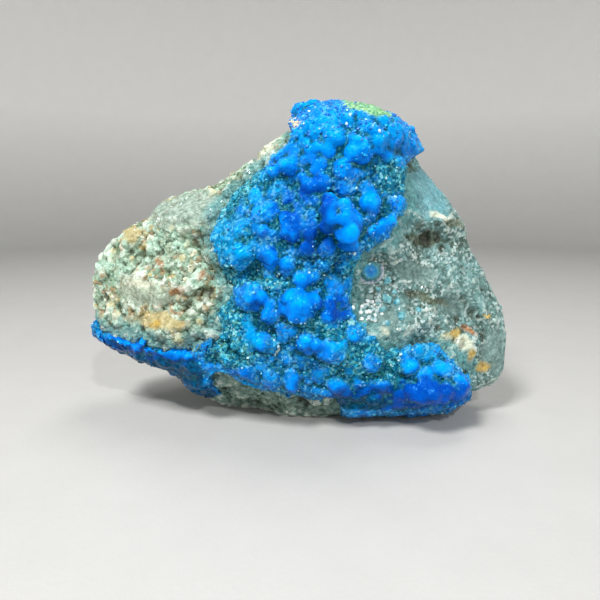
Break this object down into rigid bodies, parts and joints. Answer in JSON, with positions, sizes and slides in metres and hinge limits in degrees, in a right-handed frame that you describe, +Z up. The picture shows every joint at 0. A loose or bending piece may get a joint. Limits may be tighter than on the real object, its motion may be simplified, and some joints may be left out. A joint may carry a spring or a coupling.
{
  "type": "allophane mineral specimen",
  "caption": "Loose hand specimen of blue botryoidal allophane crust on a broken lump of pale green altered quartz rock, resting on a flat foot.",
  "frame": {"origin": "middle of the bounding box, at the height of the flat foot", "axes": "+Z up, +X to the right along the longest extent, the blue front towards -Y"},
  "size_m": [0.0452, 0.0256, 0.0332],
  "materials": {
    "host_rock": "granular broken rock",
    "allophane": "waxy to glassy, translucent"
  },
  "bodies": {
    "root": {"matrix": "host_rock", "allophane_crust": "allophane"}
  },
  "joints": []
}
